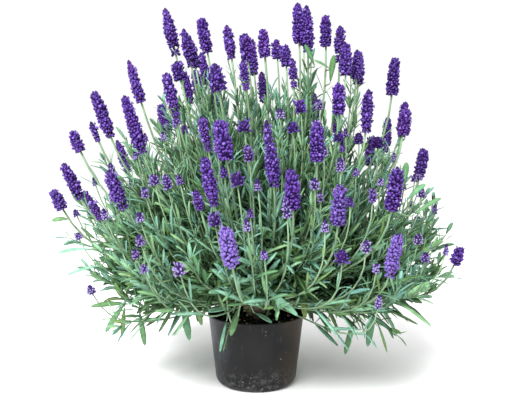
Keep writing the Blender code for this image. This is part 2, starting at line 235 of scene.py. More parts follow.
def skin(rings, foot, tip, spot, tone):
    """n closed skins. Each joins its s rings of v points with quads and closes both ends with fans.

    spot holds (along, across, under) for each point and tone one vector for each item. The rings turn
    counter-clockwise about the way from foot to tip, so faces point outwards.
    """
    n, s, v, _ = rings.shape
    row = np.arange(s - 1)[:, None] * v
    here = np.arange(v)[None]
    after = (here + 1) % v
    quads = np.stack([row + here, row + after, row + v + after, row + v + here], -1).reshape(-1, 4)
    j, k = here[0], after[0]
    low = np.stack([np.full(v, s * v), k, j], -1)
    high = np.stack([np.full(v, s * v + 1), (s - 1) * v + j, (s - 1) * v + k], -1)
    corners = np.concatenate([quads.ravel(), low.ravel(), high.ravel()])
    # The flat map gives each item a cell, with the rings unrolled across it.
    grid = np.stack(np.meshgrid(np.arange(v), np.arange(1, s)), -1)[:, :, None]
    grid = grid + [(0, 0), (1, 0), (1, 1), (0, 1)]
    column = np.stack([j, 0 * j], -1)[:, None]
    foot_fan, tip_fan = column + [(0.5, 0), (1, 1), (0, 1)], column + [(0.5, s + 1), (0, s), (1, s)]
    flat = np.concatenate([part.reshape(-1, 2) for part in (grid, foot_fan, tip_fan)]) / (v, s + 1)
    cells = math.ceil(math.sqrt(n))
    cell = np.stack([np.arange(n) % cells, np.arange(n) // cells], -1)
    unrolled = (cell[:, None] + 0.05 + 0.9 * flat[None]) / cells
    points = packed(rings, foot, tip)
    return {
        "points": points.reshape(-1, 3),
        "corners": (corners + np.arange(n)[:, None] * (s * v + 2)).ravel(),
        "counts": np.tile([4] * len(quads) + [3] * 2 * v, n),
        "flat": unrolled.reshape(-1, 2),
        "spot": np.broadcast_to(spot, points.shape).reshape(-1, 3),
        "tone": np.broadcast_to(np.asarray(tone).reshape(-1, 1, 3), points.shape).reshape(-1, 3),
    }


def mesh_of(name, *skins):
    """One mesh of several skins, each with its own band of the flat map."""
    sizes = np.cumsum([0] + [len(part["points"]) for part in skins])
    points = np.concatenate([part["points"] for part in skins])
    corners = np.concatenate([part["corners"] + size for part, size in zip(skins, sizes)])
    counts = np.concatenate([part["counts"] for part in skins])
    weights = np.sqrt([len(part["counts"]) for part in skins])
    edges = np.concatenate([[0], np.cumsum(weights) / weights.sum()])
    bands = [part["flat"] * (1, high - low) + (0, low) for part, low, high in zip(skins, edges, edges[1:])]
    mesh = bpy.data.meshes.new(name)
    mesh.vertices.add(len(points))
    mesh.vertices.foreach_set("co", points.astype(np.float32).ravel())
    mesh.loops.add(len(corners))
    mesh.loops.foreach_set("vertex_index", corners.astype(np.int32))
    mesh.polygons.add(len(counts))
    mesh.polygons.foreach_set("loop_start", (np.cumsum(counts) - counts).astype(np.int32))
    mesh.update(calc_edges=True)
    flat = mesh.uv_layers.new(name="OFBake")
    flat.uv.foreach_set("vector", np.concatenate(bands).astype(np.float32).ravel())
    for key in ("spot", "tone"):
        held = mesh.attributes.new(key, "FLOAT_VECTOR", "POINT")
        values = np.concatenate([part[key] for part in skins])
        held.data.foreach_set("vector", values.astype(np.float32).ravel())
    mesh.validate()
    mesh.shade_smooth()
    return mesh


def put(name, data):
    """A new object in the scene, at the origin."""
    made = bpy.data.objects.new(name, data)
    bpy.context.scene.collection.objects.link(made)
    return made


def add_piece(name, mesh, finish_used, slot, *nodes):
    """A finished piece of the plant, riding on its one body and standing for the nodes."""
    piece = put(name, mesh)
    mesh.materials.clear()
    mesh.materials.append(finish_used)
    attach(piece, "root")
    if nodes:
        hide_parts(*nodes)


def tubes(curve, azimuth, shares, radii, sides, tone, square=0.0, knobs=1.0):
    """Tapered stems: on each cubic, circles of the radii square to the path, pulled towards a square section
    by square. knobs scales each ring's points."""
    place, tangent = on_curve(curve, shares)
    e1 = sideways(tangent, azimuth)
    e2 = np.cross(tangent, e1)
    turn = round_turns(sides)
    radii = np.broadcast_to(radii, place.shape[:2])
    size = radii[:, :, None] * (1 + square * np.cos(4 * turn)) * knobs
    rings = place[:, :, None] + swung(e1[:, :, None], e2[:, :, None], turn) * size[..., None]
    cap = tangent * radii[..., None] * 0.5
    spot = packed(ring_spots(shares, sides)[None])
    return skin(rings, place[:, 0] - cap[:, 0], place[:, -1] + cap[:, -1], spot, tone)


# ---------------------------------------------------------------- leaves

# Along the blade: share of its length and share of its half-width.
BROAD_BLADE = np.array([(0.04, 0.26), (0.26, 0.66), (0.52, 1.0), (0.76, 0.93), (0.94, 0.52)])
SLIM_BLADE = np.array([(0.06, 0.42), (0.36, 0.94), (0.68, 1.0), (0.93, 0.52)])
TUFT_BLADE = np.array([(0.15, 0.7), (0.75, 1.0)])
# Round the blade from the midrib's groove: across, up, both in half-widths, and 1 on the underside.
ROLLED_EDGES = np.array(
    [(0, 0.02, 0), (0.5, 0.24, 0), (1, -0.06, 0), (0, -0.24, 1), (-1, -0.06, 0), (-0.5, 0.24, 0)], float
)
FLAT_EDGES = np.array([(0, 0.16, 0), (1, 0, 0), (0, -0.18, 1), (-1, 0, 0)], float)


def leaves(root, leaving, face, length, width, bend, fold, blade, edges, tone):
    """Lance-shaped leaves, closed and two-faced.

    The midrib runs root + length (u leaving + u² bend). Each cross-section is edges times half the width
    times the blade's share at u, and its two sides rise by fold times their distance from the midrib.
    """
    u, share = blade.T
    u = u[:, None]
    mid = root[:, None] + length[:, None, None] * (u * leaving[:, None] + u * u * bend[:, None])
    tangent = unit(leaving[:, None] + 2 * u * bend[:, None])
    across = unit(np.cross(tangent, face[:, None]))
    up = np.cross(across, tangent)
    half = (width[:, None] / 2 * share)[:, :, None, None]
    x = edges[:, 0][:, None]
    y = edges[:, 1][:, None] + fold[:, None, None, None] * np.abs(x)
    rings = mid[:, :, None] + half * (across[:, :, None] * x + up[:, :, None] * y)
    tip = root + length[:, None] * (leaving + bend)
    spot = np.zeros((1, len(u), len(edges), 3))
    spot[..., 0] = u
    spot[..., 1:] = edges[:, ::2]
    return skin(rings, root, tip, packed(spot, (0.0, 0.0, 0.5), (1.0, 0.0, 0.5)), tone)


def over_pot(points):
    """Whether points lie low over the pot, within RIM_ROOM of its rim, or low before it, where its rim shows:
    the height that counts as low rises in front by RIM_SLOPE of the distance."""
    x, y, z = np.moveaxis(points, -1, 0)
    near = (np.hypot(x, y) < POT_RIM + RIM_ROOM) | ((np.abs(x) < POT_RIM + FRONT_ROOM) & (y < 0))
    return near & (z < POT_HEIGHT + RIM_HEADROOM + RIM_SLOPE * np.maximum(-y - POT_RIM, 0))


def leaf_pairs(
    curve, azimuth, shares, rng, spread, length, width, sag, tone, blade, edges,
    turned=0.0, rise=0.0, over_rim=False,
):
    """Opposite leaves at shares of each stem, each pair turned a quarter from the last, less those that would
    hang into the pot unless over_rim.

    A leaf leaves its stem at spread degrees, in the plane of the stem and its own side, raised by rise; it
    bends down by sag and a little to any side. Leaves deep inside the plant are darker in tone as painted
    shade, and those at its surface lighter as painted light. length, width and spread are (stems, shares).
    """
    place, tangent = on_curve(curve, shares)
    n, k = place.shape[:2]
    e1 = sideways(tangent, azimuth)
    e2 = np.cross(tangent, e1)
    turn = turned + np.arange(k) * np.pi / 2 + rng.normal(0, 0.22, (n, k))
    turn = np.stack([turn, turn + np.pi + rng.normal(0, 0.15, (n, k))], -1)
    out = swung(e1[:, :, None], e2[:, :, None], turn)
    lean = np.radians(spread[:, :, None] + rng.normal(0, 9, (n, k, 2)))
    along = tangent[:, :, None]
    leaving = unit(swung(along, out, lean) - DOWN * np.reshape(rise, (-1, 1, 1, 1)))
    face = np.cross(np.cross(leaving, swung(-out, along, lean)), leaving)
    size = length[:, :, None] * rng.uniform(0.72, 1.18, (n, k, 2))
    breadth = width[:, :, None] * rng.uniform(0.8, 1.2, (n, k, 2))
    bend = DOWN * (sag[:, None, None] * rng.uniform(0.4, 1.5, (n, k, 2)))[..., None]
    bend = bend + out * rng.normal(0.10, 0.12, (n, k, 2))[..., None] + rng.normal(0, 0.095, (n, k, 2, 3))
    root = place[:, :, None] + out * 0.0004
    fold = rng.normal(0.16, 0.16, (n, k, 2))
    tones = tone[:, None, None] + rng.normal(0, 1, (n, k, 2, 3)) * TONE_SPREAD
    # Painted shade and light: the tone falls by up to 0.46 with depth under the foliage's surface and rises by
    # 0.16 at it.
    tones[..., 0] += 0.16 - 0.62 * np.clip(buried(root) / SHADE_DEPTH, 0, 1)
    kept = over_rim | ~over_pot(root + size[..., None] * (leaving + bend))
    chosen = [values[kept] for values in (root + 0 * leaving, leaving, face, size, breadth, bend, fold)]
    return leaves(*chosen, blade, edges, np.clip(tones[kept], 0, 1))


# ---------------------------------------------------------------- spikes

ROW_PITCH = 0.0030
MOST_ROWS = 20
BUD_ROWS = 5
FLORET_SIDES = 10
# Girth of a spike at shares of its length, from its foot.
GIRTH = ((0.0, 0.12, 0.45, 0.8, 1.0), (0.80, 1.0, 0.98, 0.82, 0.46))
# A calyx: share of its length and share of its half-width.
CALYX = np.array([(0.28, 0.78), (0.78, 1.0)])


def square_axes(axis):
    """Two directions square to each axis and to each other, turning counter-clockwise about it."""
    e1 = unit(np.cross(axis, (0.31, 0.95, 0.0)))
    return e1, np.cross(axis, e1)


def ring_round(axis, turn):
    """The directions square to each axis, at each turn about it."""
    e1, e2 = square_axes(axis)
    return swung(e1[:, None], e2[:, None], turn)


def calyces(foot, axis, length, width, rng, per_row, most_rows, tone, size, ring_at=None):
    """Rows of calyces round each spike.

    A row is a ring of per_row round-ended buds; every other row is turned half a step and pulled in a
    little, so that the whorls show. A bud points outwards and up, more steeply towards the tip. ring_at
    replaces the rows with three rings at these heights.
    """
    e1, e2 = square_axes(axis)
    row = np.arange(most_rows)
    if ring_at is None:
        rows = np.clip(np.round(length / ROW_PITCH), 3, most_rows)[:, None]
        share = (row + 0.4) / rows
        kept = row < rows
        height = share * (length[:, None] - 0.004) - 0.001
        lift = np.radians(np.interp(share, (0, 1), (8, 66)))
    else:
        share = np.full(ring_at.shape, 0.35)
        kept = ~np.isnan(ring_at)
        height = np.nan_to_num(ring_at)
        lift = np.broadcast_to((-0.25, 0.25, 0.75), ring_at.shape)
    n = len(foot)
    shape = (n, most_rows, per_row)
    waist, taper = rng.uniform(0.03, 0.17, (n, 1)), rng.uniform(-0.1, 0.45, (n, 1))
    girth = np.interp(share, *GIRTH) * (1 - waist * (row % 2)) * (1 - taper * share**2)
    radius = (girth * width[:, None] / 2)[:, :, None]
    step = 2 * np.pi / per_row
    turn = (np.arange(per_row) + 0.5 * (row[:, None] % 2)) * step + rng.uniform(0, 6, (n, 1, 1))
    turn = turn + rng.normal(0, 0.12, shape)
    out = swung(e1[:, None, None], e2[:, None, None], turn)
    up = lift[:, :, None] + rng.normal(0, 0.19, shape)
    way = swung(out, axis[:, None, None], up)
    reach = CALYX_REACH * radius / np.maximum(np.cos(up), 0.45) * rng.uniform(0.82, 1.24, shape)
    middle = foot[:, None] + axis[:, None] * height[:, :, None]
    root = middle[:, :, None] + out * (0.32 * radius)[..., None]
    half = size * np.sqrt(girth)[:, :, None] * rng.uniform(0.68, 1.15, shape)
    there = np.broadcast_to(kept[:, :, None], shape)
    tones = tone[:, None, None] + rng.normal(0, 1, (*shape, 3)) * (0.26, 0.06, 0)
    return budlets(root[there], way[there], reach[there], half[there], np.clip(tones[there], -1, 1), 5)


def budlets(root, way, reach, half, tone, sides):
    """Round-ended buds: rings of half times the calyx's share, square to the way from root to tip."""
    u, share = CALYX.T
    ring = ring_round(way, round_turns(sides))
    middle = root[:, None] + way[:, None] * (reach[:, None] * u)[..., None]
    rings = middle[:, :, None] + ring[:, None] * (half[:, None] * share)[..., None, None]
    return skin(rings, root, root + way * reach[:, None], packed(ring_spots(u, sides)[None]), tone)


def florets(foot, axis, length, width, rng, count, tone):
    """Open corollas among the calyces: a short tube whose rim is lobed, r (0.72 + 0.28 cos 5a)."""
    shape = (len(foot), count)
    e1, e2 = square_axes(axis)
    share = rng.uniform(0.08, 0.85, shape)
    out = swung(e1[:, None], e2[:, None], rng.uniform(0, 2 * np.pi, shape))
    way = swung(out, axis[:, None], rng.uniform(0.1, 0.7, shape)).reshape(-1, 3)
    radius = np.interp(share, *GIRTH) * width[:, None] / 2
    root = foot[:, None] + axis[:, None] * (share * length[:, None])[..., None]
    root = root + out * (0.82 * radius)[..., None]
    root = root.reshape(-1, 3)
    angle = round_turns(FLORET_SIDES)
    ring = ring_round(way, angle)
    lobe = 0.72 + 0.28 * np.cos(5 * angle)[:, None]
    size = rng.uniform(0.8, 1.15, len(root))[:, None, None]
    throat, rim = ring * 0.0006, way[:, None] * 0.0017 + ring * 0.0023 * lobe
    rings = root[:, None, None] + np.stack([throat * size, rim * size], 1)
    spot = packed(ring_spots((0.0, 1.0), FLORET_SIDES)[None] * (1, 0, 0), tip=(0.2, 0.0, 0.0))
    return skin(rings, root, root + way * 0.0011, spot, np.repeat(tone, count, 0) * (1, 1, 0) + (0, 0, 1))


def cores(foot, axis, length, width, tone):
    """The closed body inside each spike: rings of 0.62 times its girth, in the darkest violet as painted shade
    between the calyces.
    """
    share = np.linspace(0.0, 1.0, 7)
    ring = ring_round(axis, round_turns(8))
    radius = width[:, None] * 0.31 * np.interp(share, *GIRTH)
    middle = foot[:, None] + axis[:, None] * (length[:, None] * share * 0.95)[..., None]
    rings = middle[:, :, None] + ring[:, None] * radius[..., None, None]
    # Painted shade: a tone 0.9 lower turns the core the darkest violet.
    return skin(rings, foot, foot + axis * length[:, None], np.zeros(3), tone * (1, 1, 0) - (0.9, 0, 0))


# ---------------------------------------------------------------- finishes


def link_in(tree, made, inputs):
    """Give a node's inputs their links or values."""
    for key, value in inputs.items():
        socket = made.inputs[key]
        if isinstance(value, bpy.types.NodeSocket):
            tree.links.new(value, socket)
        elif isinstance(value, tuple) and len(value) == 3 and socket.type == "RGBA":
            socket.default_value = (*value, 1.0)
        else:
            socket.default_value = value


def node(tree, kind, inputs=(), out=0, **settings):
    """Add a shader node and return one of its outputs."""
    made = tree.nodes.new(f"ShaderNode{kind}")
    for key, value in settings.items():
        setattr(made, key, value)
    link_in(tree, made, dict(inputs))
    return made.outputs[out]


def maths(tree, kind, a, b=0.0, clamp=False):
    """A Math node of one or two values."""
    return node(tree, "Math", {0: a, 1: b}, operation=kind, use_clamp=clamp)


def times(tree, a, b, clamp=False):
    """The product of two values."""
    return maths(tree, "MULTIPLY", a, b, clamp)


def plus(tree, a, b):
    """The sum of two values."""
    return maths(tree, "ADD", a, b)


def blended(tree, share, a, b, kind="MIX"):
    """A colour between a and b."""
    made = tree.nodes.new("ShaderNodeMix")
    made.data_type, made.blend_type = "RGBA", kind
    link_in(tree, made, {0: share, 6: a, 7: b})
    return made.outputs[2]


def ramp(tree, value, low, high, bottom=0.0, top=1.0):
    """bottom below low, top above high, and a smooth step between."""
    inputs = {0: value, 1: low, 2: high, 3: bottom, 4: top}
    return node(tree, "MapRange", inputs, interpolation_type="SMOOTHSTEP")


def parts_of(tree, attribute):
    """The three numbers of a point attribute."""
    held = node(tree, "Attribute", out="Vector", attribute_name=attribute)
    split = tree.nodes.new("ShaderNodeSeparateXYZ")
    tree.links.new(held, split.inputs[0])
    return split.outputs


def group(name, inputs, outputs, fill):
    """A shader node group with named sockets; fill(tree, inputs) returns its outputs in order."""
    tree = bpy.data.node_groups.new(name, "ShaderNodeTree")
    for label, kind, value in inputs:
        socket = tree.interface.new_socket(label, in_out="INPUT", socket_type=f"NodeSocket{kind}")
        socket.default_value = (*value, 1.0) if kind == "Color" else value
    for label, kind in outputs:
        tree.interface.new_socket(label, in_out="OUTPUT", socket_type=f"NodeSocket{kind}")
    entry, leave = tree.nodes.new("NodeGroupInput"), tree.nodes.new("NodeGroupOutput")
    for socket, value in zip(leave.inputs, fill(tree, entry.outputs)):
        tree.links.new(value, socket)
    return tree


def use(tree, made, inputs):
    """Place a group and return its outputs."""
    placed = tree.nodes.new("ShaderNodeGroup")
    placed.node_tree = made
    link_in(tree, placed, inputs)
    return placed.outputs


def cloud(tree, scale, detail=3.0, rough=0.55, stretch=None):
    """Noise on the object's own coordinates."""
    vector = node(tree, "TexCoord", out="Object")
    if stretch:
        vector = node(tree, "Mapping", {"Vector": vector, "Scale": stretch})
    return node(tree, "TexNoise", {"Vector": vector, "Scale": scale, "Detail": detail, "Roughness": rough})


def fill_patches(tree, inputs):
    """Two finishes in soft patches: noise through a smooth step at Balance."""
    field = cloud(tree, inputs["Scale"])
    low = maths(tree, "SUBTRACT", inputs["Balance"], inputs["Softness"])
    high = plus(tree, inputs["Balance"], inputs["Softness"])
    mask = ramp(tree, field, low, high)
    return blended(tree, mask, inputs["Ground"], inputs["Patch"]), mask


def fill_down(tree, inputs):
    """Fine pale down: a lighter, greyer colour in grains, and the height of the grain."""
    grain = cloud(tree, inputs["Scale"], 4.0, 0.7)
    share = times(tree, ramp(tree, grain, 0.42, 0.68), inputs["Amount"])
    return blended(tree, share, inputs["Colour"], inputs["Down"]), grain


def fill_specks(tree, inputs):
    """Small round specks: cells whose centres lie nearer than Size, on some of the cells."""
    vector = node(tree, "TexCoord", out="Object")
    cell = tree.nodes.new("ShaderNodeTexVoronoi")
    link_in(tree, cell, {"Vector": vector, "Scale": inputs["Scale"]})
    near = ramp(tree, cell.outputs["Distance"], 0.0, inputs["Size"], 1.0, 0.0)
    pick = node(tree, "SeparateColor", {0: cell.outputs["Color"]})
    some = ramp(tree, pick, inputs["Bare"], 1.0)
    mask = times(tree, near, some, True)
    return blended(tree, mask, inputs["Colour"], inputs["Speck"]), mask


patches = group(
    "soft_patches",
    [
        ("Ground", "Color", (0.1, 0.1, 0.1)), ("Patch", "Color", (0.2, 0.2, 0.2)), ("Scale", "Float", 40.0),
        ("Balance", "Float", 0.5), ("Softness", "Float", 0.12),
    ],
    [("Colour", "Color"), ("Mask", "Float")],
    fill_patches,
)  # fmt: skip
down = group(
    "fine_down",
    [
        ("Colour", "Color", (0.1, 0.2, 0.1)), ("Down", "Color", (0.5, 0.6, 0.5)), ("Amount", "Float", 0.3),
        ("Scale", "Float", 900.0),
    ],
    [("Colour", "Color"), ("Height", "Float")],
    fill_down,
)  # fmt: skip
specks = group(
    "specks",
    [
        ("Colour", "Color", (0.1, 0.1, 0.1)), ("Speck", "Color", (0.5, 0.5, 0.5)), ("Scale", "Float", 300.0),
        ("Size", "Float", 0.2), ("Bare", "Float", 0.5),
    ],
    [("Colour", "Color"), ("Mask", "Float")],
    fill_specks,
)  # fmt: skip


def finish(name, rough, gloss=0.5):
    """A material with its Principled shader's plain values set on its own sockets."""
    made = bpy.data.materials.new(name)
    made.use_nodes = True
    shader = made.node_tree.nodes["Principled BSDF"]
    shader.inputs["Metallic"].default_value = 0.0
    shader.inputs["Roughness"].default_value = rough
    shader.inputs["Specular IOR Level"].default_value = gloss
    return made, made.node_tree, shader


def bump(tree, shader, height, distance, strength=0.5):
    """Relief of a height field."""
    made = node(tree, "Bump", {"Height": height, "Distance": distance, "Strength": strength}, out="Normal")
    tree.links.new(made, shader.inputs["Normal"])


def leaf_finish():
    """Grey-green lavender leaf: tone runs from deep green to sage, age to olive and chance from warm to cool,
    with a pale midrib and a greyer underside. The tone carries painted shade inside the plant, and each leaf's
    foot is darkened as painted shade."""
    made, tree, shader = finish("lavender_leaf", 0.6, 0.12)
    along, across, under = parts_of(tree, "spot")
    tone, age, chance = parts_of(tree, "tone")
    deep, full = ramp(tree, tone, 0.0, 0.55), ramp(tree, tone, 0.35, 1.0)

    def green(dark, middle, light):
        """The leaf's tone on a scale of three greens."""
        return blended(tree, full, blended(tree, deep, dark, middle), light)

    colour = green((0.005, 0.030, 0.003), (0.060, 0.164, 0.056), (0.156, 0.325, 0.236))
    warm = green((0.009, 0.030, 0.001), (0.077, 0.158, 0.024), (0.170, 0.310, 0.140))
    cool = green((0.004, 0.030, 0.013), (0.046, 0.155, 0.096), (0.136, 0.310, 0.280))
    colour = blended(tree, ramp(tree, chance, 0.50, 0.0, 0.0, 0.9), colour, warm)
    colour = blended(tree, ramp(tree, chance, 0.50, 1.0, 0.0, 0.9), colour, cool)
    colour = blended(tree, age, colour, (0.165, 0.175, 0.025))
    rib = ramp(tree, maths(tree, "ABSOLUTE", across), 0.04, 0.30, 0.30, 0.0)
    colour = blended(tree, rib, colour, (0.148, 0.29, 0.16))
    colour = blended(tree, times(tree, under, 0.4), colour, (0.098, 0.185, 0.115))
    darker = blended(tree, 0.35, colour, (0.025, 0.065, 0.02))
    mottled = use(tree, patches, {"Ground": colour, "Patch": darker, "Scale": 120.0})
    # Painted shade: each leaf darkened to 0.7 of its colour towards its foot, where it meets the stem.
    foot = ramp(tree, along, 0.0, 0.35, 0.70, 1.0)
    foot = node(tree, "CombineColor", {0: foot, 1: foot, 2: foot})
    shaded = blended(tree, 1.0, mottled["Colour"], foot, "MULTIPLY")
    downy = use(tree, down, {"Colour": shaded, "Down": (0.21, 0.36, 0.29), "Amount": 0.14, "Scale": 1400.0})
    tree.links.new(downy["Colour"], shader.inputs["Base Color"])
    tree.links.new(ramp(tree, downy["Height"], 0.3, 0.7, 0.50, 0.68), shader.inputs["Roughness"])
    bump(tree, shader, downy["Height"], 0.0002)
    return made


def stem_finish():
    """Square green stem: woody brown at its foot, pale yellow-green above, with lengthwise ribs."""
    made, tree, shader = finish("lavender_stem", 0.6, 0.3)
    along, across, _ = parts_of(tree, "spot")
    tone, age, _ = parts_of(tree, "tone")
    colour = blended(tree, tone, (0.038, 0.082, 0.030), (0.142, 0.235, 0.128))
    wood = ramp(tree, along, 0.10, 0.36, 1.0, 0.0)
    colour = blended(tree, times(tree, wood, age), colour, (0.11, 0.08, 0.05))
    paler = blended(tree, 0.4, colour, (0.17, 0.26, 0.15))
    mottled = use(tree, patches, {"Ground": colour, "Patch": paler, "Scale": 90.0})["Colour"]
    downy = use(tree, down, {"Colour": mottled, "Down": (0.24, 0.33, 0.25), "Amount": 0.2, "Scale": 1600.0})
    rib = maths(tree, "COSINE", times(tree, across, 4 * math.pi))
    tree.links.new(downy["Colour"], shader.inputs["Base Color"])
    bump(tree, shader, plus(tree, times(tree, rib, 0.5), downy["Height"]), 0.0002)
    return made


def flower_finish():
    """Violet calyx with ribs and lilac tip, darkened towards its foot as painted shade between the calyces;
    open corollas are lighter, shut buds grey-green.
    """
    made, tree, shader = finish("lavender_flower", 0.62, 0.06)
    along, across, _ = parts_of(tree, "spot")
    tone, pale, corolla = parts_of(tree, "tone")
    colour = blended(tree, tone, (0.006, 0.0009, 0.044), (0.060, 0.017, 0.200))
    colour = blended(tree, pale, colour, (0.17, 0.120, 0.37))
    magenta = ramp(tree, cloud(tree, 30.0, 2.0), 0.50, 0.72, 0.0, 0.6)
    colour = blended(tree, magenta, colour, (0.046, 0.004, 0.098))
    rib = maths(tree, "COSINE", times(tree, across, 5 * math.pi))
    colour = blended(tree, ramp(tree, rib, 0.3, 1.0, 0.0, 0.25), colour, (0.012, 0.002, 0.05))
    # Painted shade: each calyx goes almost black towards its foot, in the gaps between the calyces.
    colour = blended(tree, ramp(tree, along, 0.20, 0.70, 0.92, 0.0), colour, (0.007, 0.001, 0.030))
    colour = blended(tree, ramp(tree, along, 0.74, 1.0, 0.0, 0.45), colour, (0.17, 0.09, 0.38))
    petal = blended(tree, ramp(tree, along, 0.1, 0.9), (0.06, 0.016, 0.20), (0.19, 0.12, 0.41))
    colour = blended(tree, ramp(tree, corolla, 0.0, 1.0), colour, petal)
    closed = blended(tree, ramp(tree, along, 0.35, 0.85), (0.125, 0.175, 0.105), (0.22, 0.17, 0.36))
    colour = blended(tree, ramp(tree, corolla, 0.0, -1.0), colour, closed)
    dots = {"Colour": colour, "Speck": (0.55, 0.42, 0.72), "Scale": 340.0, "Size": 0.26, "Bare": 0.70}
    dotted = use(tree, specks, dots)["Colour"]
    downy = use(tree, down, {"Colour": dotted, "Down": (0.17, 0.10, 0.34), "Amount": 0.12, "Scale": 1800.0})
    tree.links.new(downy["Colour"], shader.inputs["Base Color"])
    bump(tree, shader, plus(tree, times(tree, rib, -0.6), downy["Height"]), 0.0003)
    return made


def pot_finish():
    """Thin charcoal plastic: handled, with a painted bluish reflection in streaks on its left side, a painted
    brownish reflection at both side edges, dust low down and fine scratches."""
    made, tree, shader = finish("pot_charcoal_plastic", 0.5, 0.14)
    x, _, z = node(tree, "SeparateXYZ", {0: node(tree, "TexCoord", out="Object")}).node.outputs
    plastic = {"Ground": (0.0045, 0.0045, 0.005), "Patch": (0.009, 0.009, 0.0095)}
    plastic |= {"Scale": 26.0, "Softness": 0.2}
    colour = use(tree, patches, plastic)["Colour"]
    # Painted reflection: a bluish sheen on the pot's left side, the side the lamp falls on, broken into
    # streaks.
    side = plus(tree, x, times(tree, cloud(tree, 22.0), 0.04))
    streak = ramp(tree, cloud(tree, 70.0, 5.0, 0.65, (1.0, 1.0, 0.45)), 0.38, 0.66, 0.25, 1.0)
    painted_left_reflection = times(tree, ramp(tree, side, -0.055, -0.005, 1.0, 0.0), streak)
    colour = blended(tree, painted_left_reflection, colour, (0.048, 0.053, 0.068))
    # Painted reflection: a brownish tint at the pot's left and right edges.
    painted_edge_reflection = ramp(tree, maths(tree, "ABSOLUTE", side), 0.048, 0.074, 0.0, 0.8)
    colour = blended(tree, painted_edge_reflection, colour, (0.026, 0.017, 0.009))
    low = ramp(tree, plus(tree, z, times(tree, cloud(tree, 60.0), 0.02)), 0.012, 0.05, 1.0, 0.0)
    dust = times(tree, low, ramp(tree, cloud(tree, 130.0, 6.0, 0.7), 0.46, 0.68), True)
    colour = blended(tree, times(tree, dust, 0.6), colour, (0.12, 0.12, 0.12))
    splash = {"Colour": colour, "Speck": (0.26, 0.26, 0.25), "Scale": 230.0, "Size": 0.30, "Bare": 0.30}
    colour = blended(tree, low, colour, use(tree, specks, splash)["Colour"])
    scratch = ramp(tree, cloud(tree, 300.0, 2.0, 0.5, (1.0, 1.0, 0.12)), 0.66, 0.74, 0.0, 0.35)
    colour = blended(tree, scratch, colour, (0.06, 0.06, 0.064))
    grit = {"Colour": colour, "Speck": (0.30, 0.30, 0.29), "Scale": 150.0, "Size": 0.18, "Bare": 0.80}
    tree.links.new(use(tree, specks, grit)["Colour"], shader.inputs["Base Color"])
    grain = cloud(tree, 700.0, 3.0, 0.6)
    rough = plus(tree, ramp(tree, grain, 0.3, 0.7, 0.38, 0.50), times(tree, dust, 0.35))
    tree.links.new(rough, shader.inputs["Roughness"])
    bump(tree, shader, plus(tree, grain, times(tree, cloud(tree, 30.0, 2.0), 3.0)), 0.0003, 0.4)
    return made


def peat_finish():
    """Damp dark peat with brown fibres; tone whitens the perlite grains."""
    made, tree, shader = finish("damp_peat", 0.9)
    white, _, _ = parts_of(tree, "tone")
    damp = {"Ground": (0.006, 0.006, 0.007), "Patch": (0.030, 0.021, 0.015), "Scale": 220.0, "Softness": 0.15}
    fibre = ramp(tree, cloud(tree, 500.0, 3.0, 0.6, (1.0, 0.2, 1.0)), 0.60, 0.70, 0.0, 0.6)
    colour = blended(tree, fibre, use(tree, patches, damp)["Colour"], (0.075, 0.048, 0.028))
    perlite = {"Ground": (0.55, 0.54, 0.50), "Patch": (0.74, 0.73, 0.70), "Scale": 900.0}
    colour = blended(tree, white, colour, use(tree, patches, perlite)["Colour"])
    tree.links.new(colour, shader.inputs["Base Color"])
    bump(tree, shader, cloud(tree, 600.0, 5.0, 0.7), 0.0012, 0.8)
    return made


def bark_finish():
    """Old lavender wood: grey-brown, split lengthwise, with darker cracks."""
    made, tree, shader = finish("split_bark", 0.88)
    body = use(tree, patches, {"Ground": (0.13, 0.095, 0.06), "Patch": (0.25, 0.20, 0.14), "Scale": 120.0})
    crack = cloud(tree, 260.0, 4.0, 0.65, (1.0, 1.0, 0.25))
    colour = blended(tree, ramp(tree, crack, 0.52, 0.62, 0.0, 0.8), body["Colour"], (0.035, 0.025, 0.016))
    tree.links.new(colour, shader.inputs["Base Color"])
    bump(tree, shader, crack, 0.0010, 0.9)
    return made


# ---------------------------------------------------------------- pot, peat, crown


def rumple(x, y, scale, seed):
    """Smooth bumps of about 1: twice the mean of eight sine waves of chance directions and lengths."""
    rng = np.random.default_rng(seed)
    turn, phase = rng.uniform(0, 2 * np.pi, (2, 8))
    wave = rng.uniform(0.5, 1.8, 8) * 2 * np.pi / scale
    field = np.sin((x[..., None] * np.cos(turn) + y[..., None] * np.sin(turn)) * wave + phase)
    return field.mean(-1) * 2


def lathe(profile, sides, radial=None, rise=None):
    """A profile of (radius, height) turned about Z as one closed skin; its ends lie on the axis.

    radial(angle, height) adds to the radius and rise(x, y) to the height."""
    profile = np.asarray(profile, float)
    angle = round_turns(sides)
    radius, height = profile[1:-1, 0, None], profile[1:-1, 1, None] + 0 * angle
    if radial is not None:
        radius = radius + radial(angle, height)
    x, y = radius * np.cos(angle), radius * np.sin(angle)
    if rise is not None:
        height = height + rise(x, y)
    rings = np.stack([x, y, height], -1)[None]
    spot = packed(ring_spots(np.linspace(0, 1, len(profile))[1:-1], sides)[None])
    foot, tip = (np.array([[0.0, 0.0, profile[i, 1]]]) for i in (0, -1))
    return skin(rings, foot, tip, spot, np.zeros(3))


POT_TAPER = math.radians(6.7)
POT_WALL = 0.0012
POT_CORNER = 0.012
POT_SIDES = 120
NOTCHES = 5
FIRST_NOTCH = math.radians(-70.0)
DRAIN_CIRCLE = 0.030


